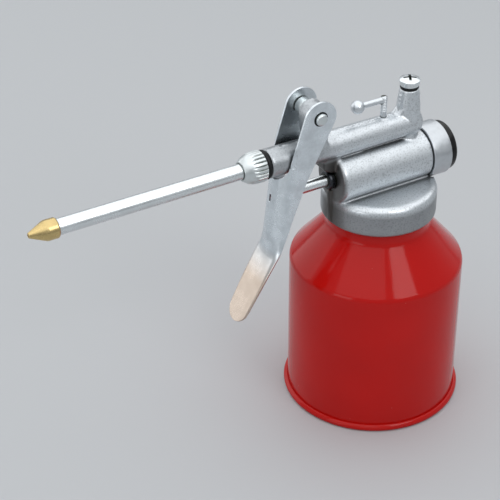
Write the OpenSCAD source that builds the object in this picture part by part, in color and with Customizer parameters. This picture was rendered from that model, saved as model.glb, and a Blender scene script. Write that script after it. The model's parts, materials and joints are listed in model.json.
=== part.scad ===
// Pump oiler: a steel bottle with a screw-on pump head, a squeeze lever and a rigid spout.
// Millimetres, +Z up. The origin is the middle of the foot, and the spout points along -X.

/* [Bottle] */
// Outside diameter of the bottle
bottle_d = 70; // [64:1:84]
// Height at which the straight wall would meet the sloping shoulder
wall_h = 63.9; // [50:0.1:74]
// Height at which the shoulder would meet the neck
shoulder_h = 80.4; // [79:0.1:84]
// Thickness of the bottle's sheet
sheet_t = 0.9; // [0.6:0.1:1.2]
// Radius of the pressed corner between wall and shoulder
shoulder_r = 3.6; // [2:0.1:6]
// Outside diameter of the neck
neck_d = 41.2; // [38:0.1:42]
// How far the rolled seam at the foot stands out from the wall
seam_out = 1.65; // [1:0.05:2.5]
// Height of the rolled seam
seam_h = 3.2; // [2.4:0.1:5]

/* [Screw cap] */
// Outside diameter of the cap
cap_d = 45.8; // [45:0.1:52]
// Height of the cap's lower edge above the shoulder's upper end
cap_up = 5.4; // [4.4:0.1:6.4]
// Height of the cap
cap_h = 12.1; // [11.8:0.1:13]
// Wall of the cap, beside the neck
cap_wall = 1.7; // [1.2:0.1:1.9]
// Thickness of the cap's top plate
cap_plate = 4.6; // [4.2:0.1:5]
// Thickness of the gasket under the plate
gasket_t = 1.6; // [1:0.1:1.6]

/* [Pump cylinder] */
// Height of the cylinder's axis above the cap's top
pump_up = 7.7; // [7.3:0.1:8.3]
// Outside diameter of the cylinder
pump_d = 20; // [19:0.1:21]
// Bore of the cylinder
pump_bore = 16; // [13:0.1:16.5]
// Front end of the cylinder along X
pump_front = -22.8; // [-24:0.1:-21]
// Length of the cylinder
pump_l = 41.4; // [40:0.1:43]
// Thickness of the cylinder's front wall
pump_wall = 5; // [4.4:0.1:6]
// Diameter of the piston rod
rod_d = 4.72; // [4:0.01:5]
// Length of the piston
piston_l = 8; // [6:0.1:10]
// Diameter of the silver end cap behind the cylinder
end_cap_d = 22; // [20.5:0.1:23.5]
// Length of the end cap's collar
end_cap_l = 7.8; // [6.5:0.1:9]
// Diameter of the black plug in the end cap
end_plug_d = 20.4; // [14:0.1:20.4]
// Length of the black plug
end_plug_l = 3.5; // [2.5:0.1:5]

/* [Delivery barrel and valve tower] */
// Height of the barrel's axis above the cylinder's axis
barrel_up = 15.3; // [15:0.1:15.6]
// Diameter of the barrel at the spout
barrel_d = 11.5; // [11:0.1:11.7]
// Diameter of the barrel at its rear end
barrel_rear_d = 10.5; // [10:0.1:11]
// Front end of the barrel along X
barrel_front = -52; // [-54:0.1:-51]
// Rear end of the barrel along X
barrel_rear = 17.4; // [17:0.1:18.4]
// Bore of the barrel
barrel_bore = 4.4; // [3:0.1:4.6]
// Place of the valve tower along X
tower_x = 12; // [11.5:0.1:12.2]
// Height of the tower's top above the barrel's axis
tower_l = 14.8; // [13.4:0.1:16.4]
// Diameter of the tower at its top
tower_d = 7.6; // [7.4:0.1:9]
// Diameter of the valve screw's head
screw_head_d = 8.4; // [7.6:0.1:10]
// Height of the valve screw's head
screw_head_h = 3.4; // [3:0.1:5]
// Diameter of the steel valve balls
ball_d = 3.8; // [3.4:0.1:4]

/* [Lever] */
// Place of the lever's pivot along X
pivot_x = -32.8; // [-33.4:0.1:-32.4]
// Height of the lever's pivot above the barrel's axis
pivot_up = 16.9; // [16:0.1:18]
// Diameter of the pivot pin
pin_d = 4.8; // [4:0.1:5]
// Radius of the lever's round ears
ear_r = 6.8; // [6.4:0.1:7.6]
// Outside width of the lever
lever_w = 14.6; // [14.6:0.1:15.4]
// Thickness of the lever's sheet
lever_t = 1; // [0.8:0.05:1.1]
// Outside radius of the folds between web and flanges
fold_r = 4; // [3:0.1:4.4]
// Tilt of the lever's web from upright
web_tilt = 6.6; // [6:0.1:7]
// Tilt of the lever's blade from upright
blade_tilt = 29.5; // [28:0.1:31]
// Length of the blade below the bend
blade_l = 29.6; // [24:0.1:30]
// Width of the blade near its round end
blade_tip_w = 11.4; // [9:0.1:12.5]

/* [Spout] */
// Outside diameter of the spout tube
tube_d = 6.1; // [5:0.1:6.2]
// Inside diameter of the spout tube
tube_bore = 4; // [2.5:0.1:4.4]
// Where the spout tube enters its tip, along X
tube_end = -136.9; // [-240:0.1:-90]
// Diameter of the brass tip
tip_d = 7.7; // [7.2:0.1:9]
// Length of the tip's straight part
tip_l = 4.4; // [4:0.1:10]
// Length of the tip's cone
tip_cone_l = 6.4; // [4:0.1:9]
// Diameter of the union nut
nut_d = 12.2; // [11.8:0.1:12.6]
// Length of the union nut
nut_l = 9; // [8.8:0.1:12]
// Number of flutes round the union nut
nut_flutes = 24; // [16:1:32]

/* [Hidden] */
$fn = 64;
ball_fn = 32;

// Clearances
press_gap = 0.05;
fit_gap = 0.1;
rest_gap = 0.3;
over = 0.5;

// Bottle and seam
bottle_r = bottle_d / 2;
neck_r = neck_d / 2;
shoulder_tilt = atan((bottle_r - neck_r) / (shoulder_h - wall_h));
neck_fillet = 3.2;
seam_r = bottle_r + seam_out;
seam_floor = 1.1;
seam_in = bottle_r - sheet_t - press_gap - 1.1;
panel_t = 0.9;
panel_z = seam_h - panel_t;

// Screw cap and gasket
cap_z = shoulder_h + cap_up;
cap_top_z = cap_z + cap_h;
cap_r = cap_d / 2;
cap_in_r = cap_r - cap_wall;
cap_in_z = cap_top_z - cap_plate;
cap_round = 2.8;
cap_in_round = 0.4;
neck_h = cap_in_z - gasket_t - rest_gap;
gasket_r = cap_in_r - press_gap;
gasket_round = 0.6;
gasket_in_r = neck_r - sheet_t - 2.4;

// Pump cylinder and what is in it
pump_z = cap_top_z + pump_up;
pump_r = pump_d / 2;
bore_r = pump_bore / 2;
pump_rear = pump_front + pump_l;
bore_front = pump_front + pump_wall;
rod_r = rod_d / 2;
gland_r = 3.5;
gland_collar_r = gland_r + 0.4;
gland_collar_l = 2.7;
gland_l = 2.2;
packing_l = 1.6;
piston_front = bore_front + rest_gap;
piston_rear = piston_front + piston_l;
piston_r = bore_r - 0.15;
seal_r = bore_r - fit_gap / 2;
seal_w = 2;
seal_deep = 1.6;
stud_r = 1.8;
piston_nut_r = 3.4;
piston_nut_l = 2.4;
end_seal_t = 0.6;
end_cap_x = pump_rear + end_seal_t;
spigot_l = 5;
spigot_x = pump_rear - spigot_l;
pocket_r = bore_r - 1.2;
pocket_l = 3;
plug_stem_r = 4;
plug_stem_l = 4;
spring_wire = 1;
spring_r = pocket_r - 0.3 - spring_wire / 2;
spring_turns = 7;

// Valves
barrel_z = pump_z + barrel_up;
orifice_r = 1.3;
seat_z = barrel_z - 4.9;
valve_r = 2.4;
ball_r = ball_d / 2;
ball_lift = 1.2;
tower_r = tower_d / 2;
tower_h = barrel_z + tower_l;
washer_t = 1.2;
screw_z = tower_h + washer_t;
outlet_ball_z = seat_z + sqrt(pow(ball_r, 2) - pow(orifice_r, 2)) + press_gap;
outlet_top = outlet_ball_z + 11.4;
screw_shank_r = valve_r - fit_gap;
outlet_wire = 0.5;
outlet_turns = 6;
inlet_boss_r = valve_r + 2;
inlet_boss_z = cap_in_z - 7;
dip_r = 2.45;
dip_bore_r = 1.5;
dip_top = inlet_boss_z + 3.6;
dip_bottom = 8;
inlet_ball_z = dip_top + sqrt(pow(ball_r, 2) - pow(dip_bore_r, 2)) + press_gap;
inlet_chamber_r = ball_r + 0.4;
inlet_chamber_top = inlet_ball_z + ball_r + ball_lift;
strainer_r = 3.6;
strainer_l = 9;

// Vent handle on the barrel
vent_x = 0.3;
vent_spindle_r = 1;
vent_arm_r = 1.2;
vent_arm_z = barrel_z + 12.7;
vent_ball_r = 2.7;
vent_ball_x = -11.7;
vent_tip_z = barrel_z + barrel_bore / 2 + 0.6;

// Spout
tube_r = tube_d / 2;
barrel_r = barrel_d / 2;
ring_t = 2;
nut_x = barrel_front - ring_t;
nut_front = nut_x - nut_l;
nut_r = nut_d / 2;
stub_r = 4.4;
stub_front = barrel_front - 5.6;
tube_rear = barrel_front - 2.2;
ferrule_l = 2;
shoulder_x = stub_front - ferrule_l - 0.1;
flute_deep = 0.55;
tip_r = tip_d / 2;
tip_seat = tip_l - 0.4;
tip_front = tube_end - tip_l - tip_cone_l;
tip_hole_r = 0.45;

// Lever
lever_hw = lever_w / 2;
ear_in = lever_hw - lever_t;
pin_r = pin_d / 2;
ear_hole_r = pin_r + 0.5;
pivot_z = barrel_z + pivot_up;
web_x = barrel_front + 3.5;
bend_z = 83.1;
bend_r = 12;
flange_slope = 0.274;
flange_end = 79.5;
crotch_r = ear_in - 0.1;
crotch_z = barrel_z - 6.9;
fold_top = crotch_z + crotch_r;
strip_hw = lever_hw - 0.02;
blade_start_w = lever_w - 0.3;
slit = [1, 3];
lug_near = ear_in - 0.4;
lug_far = 1;
lug_r = 4.95;
spacer_r = 3.4;
pin_head_r = 4.2;
pin_head_l = 1.2;
pin_out = 1.5;

// ---- outlines -------------------------------------------------------------------------

function unit(v) = v / norm(v);

// Points round corner b of the path a, b, c, with radius r
function corner(a, b, c, r, steps = 5) = r == 0 ? [b] : let(
    u = unit(a - b),
    v = unit(c - b),
    half = acos(u * v) / 2,
    centre = b + unit(u + v) * r / sin(half),
    start = b + u * r / tan(half) - centre,
    side = u.x * v.y - u.y * v.x > 0 ? -1 : 1,
    from = atan2(start.y, start.x)
) [for (i = [0:steps]) centre + r * [cos(from + side * i * (180 - 2 * half) / steps),
    sin(from + side * i * (180 - 2 * half) / steps)]];

// A closed outline from corners given as [x, y, radius]
function rounded(p) = let(n = len(p), xy = [for (q = p) [q.x, q.y]])
    [for (i = [0:n - 1]) each corner(xy[(i + n - 1) % n], xy[i], xy[(i + 1) % n], p[i].z)];

// Where the line from p touches a circle, on its left (side 1) or right (side -1)
function touch(p, centre, r, side) = let(
    d = centre - p,
    a = atan2(d.y, d.x) + side * asin(r / norm(d))
) p + sqrt(d * d - r * r) * [cos(a), sin(a)];

// ---- building shapes ------------------------------------------------------------------

// A turned shape round the X axis at height z, from corners [radius, x, rounding]
module turned_x(p, z) translate([0, 0, z]) rotate([0, 90, 0]) rotate_extrude() polygon(rounded(p));

// A turned shape round an upright axis at x
module turned_z(p, x = 0) translate([x, 0, 0]) rotate_extrude() polygon(rounded(p));

// A rod along X from x0 to x1
module rod_x(r, x0, x1, z) translate([x0, 0, z]) rotate([0, 90, 0]) cylinder(r = r, h = x1 - x0);

// A rod along Y from y0 to y1, at the lever's pivot
module pivot_rod(r, y0, y1) translate([pivot_x, y0, pivot_z]) rotate([-90, 0, 0]) cylinder(r = r, h = y1 - y0);

// A plate standing in the XZ plane from y0 to y1
module plate(points, y0, y1) translate([0, y1, 0]) rotate([90, 0, 0]) linear_extrude(y1 - y0) polygon(points);

// A coil spring round Z from z0 to z1, with round wire
module coil(r, wire, z0, z1, turns, per_turn = 14, sides = 6) {
    rings = turns * per_turn;
    low = z0 + wire / 2 + press_gap;
    high = z1 - wire / 2 - press_gap;
    points = [for (i = [0:rings], k = [0:sides - 1])
        let(a = 360 * i / per_turn, b = 360 * k / sides, q = r + wire / 2 * cos(b))
        [q * cos(a), q * sin(a), low + (high - low) * i / rings + wire / 2 * sin(b)]];
    faces = [for (i = [0:rings - 1], k = [0:sides - 1])
        [i * sides + k, i * sides + (k + 1) % sides, (i + 1) * sides + (k + 1) % sides, (i + 1) * sides + k]];
    polyhedron(points, concat(faces, [[for (k = [sides - 1:-1:0]) k]],
        [[for (k = [0:sides - 1]) rings * sides + k]]), convexity = 10);
}

// ---- bottle ---------------------------------------------------------------------------

module bottle() {
    lift = sheet_t * tan(shoulder_tilt / 2);
    in_r = bottle_r - sheet_t;
    neck_in = neck_r - sheet_t;
    color("firebrick") turned_z([
        [bottle_r, seam_floor, 0],
        [bottle_r, wall_h, shoulder_r],
        [neck_r, shoulder_h, neck_fillet],
        [neck_r, neck_h, 0.3],
        [neck_in, neck_h, 0.3],
        [neck_in, shoulder_h - lift, neck_fillet + sheet_t],
        [in_r, wall_h - lift, shoulder_r - sheet_t],
        [in_r, seam_floor, 0]]);
}

// The pressed foot, with a rolled seam that holds the wall's lower edge
module bottle_base() {
    slot_in = bottle_r - sheet_t - press_gap;
    slot_out = bottle_r + press_gap;
    color("firebrick") turned_z([
        [0, seam_h, 0],
        [slot_in, seam_h, 0.3],
        [slot_in, seam_floor, 0],
        [slot_out, seam_floor, 0],
        [slot_out, seam_h, 0.3],
        [seam_r, seam_h, 1.2],
        [seam_r, 0, 1.4],
        [seam_in, 0, 0.8],
        [seam_in, panel_z, 0.5],
        [0, panel_z, 0]]);
}

module cap_gasket() {
    color("dimgray") turned_z([
        [gasket_in_r, cap_in_z - gasket_t, 0],
        [gasket_r, cap_in_z - gasket_t, 0],
        [gasket_r, cap_in_z, gasket_round],
        [gasket_in_r, cap_in_z, 0]]);
}

// ---- head casting ---------------------------------------------------------------------

module cap_outside() {
    turned_z([
        [0, cap_z, 0],
        [cap_r, cap_z, 0.4],
        [cap_r, cap_top_z, cap_round],
        [0, cap_top_z, 0]]);
}

module pump_outside() {
    turned_x([
        [0, pump_front, 0],
        [pump_r, pump_front, 1.4],
        [pump_r, pump_rear, 0.2],
        [0, pump_rear, 0]], pump_z);
}

module barrel_outside() {
    turned_x([
        [0, stub_front, 0],
        [stub_r, stub_front, 0.4],
        [stub_r, barrel_front, 0],
        [barrel_r, barrel_front, 0.4],
        [barrel_rear_d / 2, barrel_rear, 3.4],
        [0, barrel_rear, 0]], barrel_z);
}

// The tower, its passage down to the cylinder and the fillets at its foot
module tower_outside() {
    turned_z([
        [0, pump_z, 0],
        [valve_r + 1.6, pump_z, 0],
        [valve_r + 1.6, barrel_z, 0],
        [tower_r + 1.2, barrel_z, 0],
        [tower_r + 0.8, tower_h - 6.6, 3],
        [tower_r, tower_h, 0.3],
        [0, tower_h, 0]], tower_x);
    foot = barrel_z + barrel_rear_d / 2 - 1;
    plate(rounded([
        [tower_x - 8, foot, 0],
        [tower_x - 5.6, foot + 1.3, 3],
        [tower_x - 3.4, foot + 4.2, 0],
        [tower_x + 3.4, foot + 4.2, 0],
        [tower_x + 3.9, foot + 1, 0.6],
        [tower_x + 4.2, foot - 1, 0]]), -2.4, 2.4);
}

// The lug beside the barrel that carries the lever's pin
module lug_outside() {
    base = barrel_z + 2;
    centre = [pivot_x, pivot_z];
    front = [pivot_x - 3, base];
    rear = [pivot_x + 5, base];
    pivot_rod(lug_r, -lug_near, lug_far);
    plate([front, touch(front, centre, lug_r, 1), centre, touch(rear, centre, lug_r, -1), rear], -lug_near + 0.8, lug_far);
}

// The ribs that join the barrel, the cylinder's front end and the cap
module ribs() {
    plate([[pump_front + 1, pump_z + 8], [pump_front + 1, barrel_z], [tower_x, barrel_z], [tower_x, pump_z + 8]], -1.5, 1.5);
    plate(rounded([
        [pump_front - 5.4, barrel_z, 0],
        [pump_front - 5.4, pump_z + 6.4, 1.6],
        [pump_front - 2.2, pump_z + 4.7, 1],
        [pump_front + 2, pump_z + 4.7, 0],
        [pump_front + 2, barrel_z, 0]]), -3.4, 3.4);
    plate(rounded([
        [pump_front - 1.4, pump_z - 4.8, 0.6],
        [pump_front - 1.2, cap_top_z - 3, 0.8],
        [pump_front - 0.4, cap_z + 1, 0],
        [pump_front + 2, cap_z + 1, 0],
        [pump_front + 2, pump_z - 4.8, 0]]), -1.2, 1.2);
}

module inlet_boss() {
    translate([tower_x, 0, inlet_boss_z]) cylinder(r = inlet_boss_r, h = cap_top_z - inlet_boss_z);
}

// Everything that is drilled or bored in the casting
module head_bores() {
    turned_z([
        [0, cap_z - over, 0],
        [cap_in_r, cap_z - over, 0],
        [cap_in_r, cap_in_z, cap_in_round],
        [0, cap_in_z, 0]]);
    rod_x(bore_r, bore_front, pump_rear + over, pump_z);
    rod_x(rod_r + 0.15, bore_front - pump_wall, bore_front + over, pump_z);
    rod_x(gland_r, pump_front - over, pump_front + gland_l + packing_l, pump_z);
    rod_x(barrel_bore / 2, stub_front - over, tower_x, barrel_z);
    rod_x(tube_r + press_gap, stub_front - over, tube_rear + 0.2, barrel_z);
    rod_x(end_cap_d / 2 + rest_gap, pump_rear, cap_r + over, pump_z);
    pivot_rod(pin_r + press_gap, -lug_near - over, lug_far + over);
    translate([tower_x, 0, pump_z]) cylinder(r = orifice_r, h = seat_z - pump_z + over);
    translate([tower_x, 0, seat_z]) cylinder(r = valve_r, h = tower_h - seat_z + over);
    translate([vent_x, 0, vent_tip_z - 0.2]) cylinder(r = vent_spindle_r + fit_gap, h = 10);
    translate([vent_x, 0, barrel_z]) cylinder(r = 0.5, h = vent_tip_z - barrel_z);
}

// The inlet boss is bored after it is added, so that the cap's inside doesn't cut it away
module inlet_bores() {
    translate([tower_x, 0, inlet_boss_z - over]) cylinder(r = dip_r + press_gap, h = dip_top - inlet_boss_z + over);
    translate([tower_x, 0, dip_top - over]) cylinder(r = inlet_chamber_r, h = inlet_chamber_top - dip_top + over);
    translate([tower_x, 0, dip_top]) cylinder(r = orifice_r - 0.1, h = pump_z - dip_top);
    translate([tower_x, 0, (inlet_chamber_top + pump_z) / 2]) cube([0.9, 2 * inlet_chamber_r, pump_z - inlet_chamber_top + 0.02], center = true);
}

module head_casting() {
    color("darkgray") difference() {
        union() {
            difference() {
                union() {
                    cap_outside();
                    pump_outside();
                    barrel_outside();
                    tower_outside();
                    lug_outside();
                    ribs();
                    translate([vent_x, 0, barrel_z]) cylinder(r = 1.8, h = barrel_rear_d / 2 + 0.4);
                }
                head_bores();
            }
            difference() {
                inlet_boss();
                rod_x(bore_r, bore_front, pump_rear, pump_z);
            }
        }
        inlet_bores();
    }
}

// ---- inlet and outlet valves ----------------------------------------------------------

module dip_tube() {
    color("gainsboro") translate([tower_x, 0, dip_bottom]) difference() {
        cylinder(r = dip_r, h = dip_top - dip_bottom);
        translate([0, 0, -over]) cylinder(r = dip_bore_r, h = dip_top - dip_bottom + 2 * over);
    }
}

// A gauze thimble over the foot of the dip tube
module strainer() {
    wall = strainer_r - dip_r - press_gap;
    color("goldenrod") turned_z([
        [0, dip_bottom - 2.5, 0],
        [strainer_r, dip_bottom - 2.5, 1],
        [strainer_r, dip_bottom + strainer_l - 2.5, 0.4],
        [dip_r + press_gap, dip_bottom + strainer_l - 2.5, 0],
        [dip_r + press_gap, dip_bottom - 2.5 + wall, 0],
        [0, dip_bottom - 2.5 + wall, 0]], tower_x);
}

module inlet_ball() color("lightgray") translate([tower_x, 0, inlet_ball_z]) sphere(r = ball_r, $fn = ball_fn);

module outlet_ball() color("lightgray") translate([tower_x, 0, outlet_ball_z]) sphere(r = ball_r, $fn = ball_fn);

module outlet_spring() {
    color("lightgray") translate([tower_x, 0, 0])
        coil(valve_r - 0.3 - outlet_wire, outlet_wire, outlet_ball_z + ball_r * 0.72, outlet_top, outlet_turns, 10, 5);
}

module valve_screw() {
    head_top = screw_z + screw_head_h;
    head_r = screw_head_d / 2;
    color("silver") difference() {
        union() {
            translate([tower_x, 0, outlet_top]) cylinder(r = screw_shank_r, h = screw_z + 1 - outlet_top);
            turned_z([
                [0, screw_z, 0],
                [head_r, screw_z, 0.3],
                [head_r, head_top - 1.9, 0.9],
                [head_r * 0.62, head_top - 0.25, 2],
                [0, head_top, 0]], tower_x);
        }
        for (a = [0, 90]) translate([tower_x, 0, head_top]) rotate([0, 0, 45 + a]) cube([4.8, 1, 3.2], center = true);
    }
}

module valve_screw_washer() {
    color("dimgray") turned_z([
        [valve_r, tower_h, 0],
        [tower_r - 0.1, tower_h, 0.3],
        [tower_r - 0.1, screw_z, 0.3],
        [valve_r, screw_z, 0]], tower_x);
}

// ---- vent handle ----------------------------------------------------------------------

module vent_handle() {
    color("silver") {
        translate([vent_x, 0, vent_tip_z]) cylinder(r = vent_spindle_r, h = vent_arm_z - vent_tip_z);
        translate([vent_x, 0, vent_arm_z]) sphere(r = vent_arm_r, $fn = ball_fn);
        rod_x(vent_arm_r, vent_ball_x, vent_x, vent_arm_z);
        translate([vent_ball_x, 0, vent_arm_z]) sphere(r = vent_ball_r);
    }
}

// ---- pump -----------------------------------------------------------------------------

module gland_nut() {
    color("dimgray") turned_x([
        [rod_r + fit_gap, pump_front - gland_collar_l, 0.3],
        [gland_collar_r, pump_front - gland_collar_l, 1],
        [gland_collar_r, pump_front, 0],
        [gland_r - press_gap, pump_front, 0],
        [gland_r - press_gap, pump_front + gland_l, 0],
        [rod_r + fit_gap, pump_front + gland_l, 0]], pump_z);
}

module gland_packing() {
    color("black") turned_x([
        [rod_r + press_gap, pump_front + gland_l, 0],
        [gland_r - press_gap, pump_front + gland_l, 0],
        [gland_r - press_gap, pump_front + gland_l + packing_l, 0],
        [rod_r + press_gap, pump_front + gland_l + packing_l, 0]], pump_z);
}

// The rod's tip rests just behind the lever's web
module piston_rod() {
    tip = web_line(pump_z) + lever_t / cos(web_tilt) + 0.25;
    color("white") turned_x([
        [0, tip, 0],
        [rod_r, tip, 2],
        [rod_r, piston_front, 0],
        [stud_r, piston_front, 0],
        [stud_r, piston_rear + piston_nut_l + 0.6, 0.3],
        [0, piston_rear + piston_nut_l + 0.6, 0]], pump_z);
}

module piston() {
    groove = piston_front + (piston_l - seal_w) / 2;
    color("silver") turned_x([
        [stud_r + press_gap, piston_front, 0],
        [piston_r, piston_front, 0.4],
        [piston_r, groove, 0],
        [piston_r - seal_deep, groove, 0],
        [piston_r - seal_deep, groove + seal_w, 0],
        [piston_r, groove + seal_w, 0],
        [piston_r, piston_rear, 0.4],
        [stud_r + press_gap, piston_rear, 0]], pump_z);
}

module piston_seal() {
    groove = piston_front + (piston_l - seal_w) / 2 + press_gap;
    inside = piston_r - seal_deep + press_gap;
    color("black") turned_x([
        [inside, groove, 0.5],
        [seal_r, groove, 0.6],
        [seal_r, groove + seal_w - 2 * press_gap, 0.6],
        [inside, groove + seal_w - 2 * press_gap, 0.5]], pump_z);
}

module piston_nut() {
    color("silver") translate([piston_rear, 0, pump_z]) rotate([0, 90, 0]) difference() {
        cylinder(r = piston_nut_r, h = piston_nut_l, $fn = 6);
        translate([0, 0, -over]) cylinder(r = stud_r + press_gap, h = piston_nut_l + 2 * over);
    }
}

module return_spring() {
    color("lightgray") translate([0, 0, pump_z]) rotate([0, 90, 0])
        coil(spring_r, spring_wire, piston_rear, spigot_x + pocket_l, spring_turns);
}

module end_seal() {
    color("black") turned_x([
        [bore_r + 0.1, pump_rear, 0],
        [pump_r - 0.3, pump_rear, 0],
        [pump_r - 0.3, end_cap_x, 0],
        [bore_r + 0.1, end_cap_x, 0]], pump_z);
}

module end_cap() {
    rear = end_cap_x + end_cap_l;
    color("silver") turned_x([
        [0, spigot_x + pocket_l, 0],
        [pocket_r, spigot_x + pocket_l, 0],
        [pocket_r, spigot_x, 0],
        [bore_r - press_gap, spigot_x, 0.3],
        [bore_r - press_gap, end_cap_x, 0],
        [end_cap_d / 2 - 0.2, end_cap_x, 0.3],
        [end_cap_d / 2, rear, 0.5],
        [plug_stem_r + press_gap, rear, 0],
        [plug_stem_r + press_gap, rear - plug_stem_l, 0],
        [0, rear - plug_stem_l, 0]], pump_z);
}

module end_plug() {
    rear = end_cap_x + end_cap_l;
    color("black") turned_x([
        [0, rear - plug_stem_l + press_gap, 0],
        [plug_stem_r, rear - plug_stem_l + press_gap, 0],
        [plug_stem_r, rear, 0],
        [end_plug_d / 2, rear, 0.2],
        [end_plug_d / 2 - 0.2, rear + end_plug_l, 1.6],
        [0, rear + end_plug_l, 0]], pump_z);
}

// ---- spout ----------------------------------------------------------------------------

module nozzle_ring() {
    color("black") turned_x([
        [stub_r + fit_gap, nut_x, 0],
        [barrel_r, nut_x, 0.8],
        [barrel_r, barrel_front, 0.8],
        [stub_r + fit_gap, barrel_front, 0]], barrel_z);
}

// The union nut: a fluted grip whose flutes run out over a rounded nose
module nozzle_nut() {
    root = nut_r - flute_deep;
    color("lightgray") difference() {
        intersection() {
            turned_x([
                [0, nut_front, 0],
                [nut_r - 2.3, nut_front, 0.3],
                [nut_r - 0.5, nut_front + 2.4, 2.2],
                [nut_r, nut_front + 5.2, 4],
                [nut_r, nut_x, 0.4],
                [0, nut_x, 0]], barrel_z);
            translate([nut_front - over, 0, barrel_z]) rotate([0, 90, 0]) linear_extrude(nut_l + 2 * over)
                polygon([for (i = [0:nut_flutes - 1], e = [[-0.4, root], [-0.3, nut_r + over], [0.3, nut_r + over], [0.4, root]])
                    let(a = (i + e.x) * 360 / nut_flutes) e.y * [cos(a), sin(a)]]);
        }
        rod_x(stub_r + fit_gap, shoulder_x, nut_x + over, barrel_z);
        rod_x(tube_r + fit_gap, nut_front - over, shoulder_x + over, barrel_z);
    }
}

module ferrule() {
    color("goldenrod") turned_x([
        [tube_r + press_gap, stub_front - ferrule_l, 0],
        [tube_r + 0.6, stub_front - ferrule_l, 0],
        [stub_r - 0.1, stub_front - 0.6, 0],
        [stub_r - 0.1, stub_front, 0],
        [tube_r + press_gap, stub_front, 0]], barrel_z);
}

module nozzle_tube() {
    color("white") difference() {
        rod_x(tube_r, tube_end - tip_seat, tube_rear, barrel_z);
        rod_x(tube_bore / 2, tube_end - tip_seat - over, tube_rear + over, barrel_z);
    }
}

module nozzle_tip() {
    color("goldenrod") difference() {
        turned_x([
            [0, tip_front, 0],
            [0.8, tip_front, 0.3],
            [tip_r, tube_end - tip_l, 0.6],
            [tip_r, tube_end, 0.4],
            [0, tube_end, 0]], barrel_z);
        rod_x(tube_r + press_gap, tube_end - tip_seat - press_gap, tube_end + over, barrel_z);
        rod_x(tube_bore / 2, tube_end - tip_l, tube_end, barrel_z);
        rod_x(tip_hole_r, tip_front - over, tube_end, barrel_z);
    }
}

// ---- lever ----------------------------------------------------------------------------

// Where the web's front face stands along X at height z
function web_line(z) = web_x + (z - pump_z) * tan(web_tilt);

// How deep the flanges are, measured square to the web
function flange_depth(z) = max(0, (z - flange_end) * flange_slope);

// Direction down the sheet and direction to its rear, where it leans by a
function down(a) = [-sin(a), -cos(a)];
function rear(a) = [cos(a), -sin(a)];

web_top = [web_line(fold_top), fold_top];
web_l = (fold_top - bend_z) / cos(web_tilt) - bend_r * tan((blade_tilt - web_tilt) / 2);
bend_centre = web_top + web_l * down(web_tilt) - bend_r * rear(web_tilt);
blade_top = bend_centre + bend_r * rear(blade_tilt);
web_steps = 9;
bend_steps = 5;

// Stations along the sheet: place of the front face, lean, flange depth and half width
stations = concat(
    [for (i = [0:web_steps]) let(p = web_top + web_l * i / web_steps * down(web_tilt))
        [p, web_tilt, flange_depth(p.y), strip_hw]],
    [for (i = [1:bend_steps]) let(
        a = web_tilt + (blade_tilt - web_tilt) * i / bend_steps,
        p = bend_centre + bend_r * rear(a)
    ) [p, a, flange_depth(p.y), strip_hw + (blade_start_w / 2 - strip_hw) * i / bend_steps]],
    [for (i = [1, 2]) [blade_top + blade_l * i / 2 * down(blade_tilt), blade_tilt, 0,
        blade_start_w / 2 + (blade_tip_w - blade_start_w) / 2 * i / 2]]);

fold_steps = 5;
least_fold = 6;
lip = 0.3;

// One side of the bent strip's section, as [across, depth], for the front or the back face
function half_section(depth, hw, back) = let(
    deep = min(depth, fold_r + 1),
    fold = deep >= fold_r ? 90 : max(least_fold, acos(1 - deep / fold_r)),
    leg = max(lip, deep - fold_r),
    flat = hw - fold_r * sin(fold) - leg * cos(fold),
    move = back ? lever_t : 0
) concat(
    [for (i = [0:fold_steps]) let(a = fold * i / fold_steps)
        [flat + (fold_r - move) * sin(a), fold_r - (fold_r - move) * cos(a)]],
    [[hw - move * sin(fold), fold_r - fold_r * cos(fold) + leg * sin(fold) + move * cos(fold)]]);

function section(depth, hw) = let(
    front = half_section(depth, hw, false),
    back = half_section(depth, hw, true),
    n = len(front)
) concat([for (i = [n - 1:-1:0]) [-front[i].x, front[i].y]], front,
    [for (i = [n - 1:-1:0]) back[i]], [for (q = back) [-q.x, q.y]]);

// The web, its folds and the blade as one bent strip
module bent_strip() {
    rings = [for (s = stations) [for (q = section(s[2], s[3]))
        let(p = s[0] + q.y * rear(s[1])) [p.x, q.x, p.y]]];
    n = len(rings[0]);
    m = len(rings);
    polyhedron([for (r = rings) each r], concat(
        [for (i = [0:m - 2], k = [0:n - 1]) let(j = (k + 1) % n) each
            [[i * n + k, (i + 1) * n + k, i * n + j], [i * n + j, (i + 1) * n + k, (i + 1) * n + j]]],
        [for (k = [0:n / 2 - 2]) each [[k, k + 1, n - 1 - k], [k + 1, n - 2 - k, n - 1 - k]]],
        [for (k = [0:n / 2 - 2]) let(b = (m - 1) * n) each
            [[b + k, b + n - 1 - k, b + k + 1], [b + k + 1, b + n - 1 - k, b + n - 2 - k]]]), convexity = 10);
}

// A point of the web's line at height z, moved back from its front face
function behind(z, depth) = [web_line(z), z] + depth * rear(web_tilt);

// One ear and its flange, in the XZ plane
function ear_points() = let(
    eye = [pivot_x, pivot_z],
    low_z = flange_end + (fold_r + 2 * lip + press_gap) / flange_slope,
    front = behind(fold_top - 0.4, 1.2),
    rear = behind(crotch_z, flange_depth(crotch_z) - press_gap)
) [
    touch(front, eye, ear_r, 1),
    eye,
    touch(rear, eye, ear_r, -1),
    rear,
    behind(low_z, fold_r + 2 * lip),
    behind(fold_top - 0.4, fold_r + lip),
    front];

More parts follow.
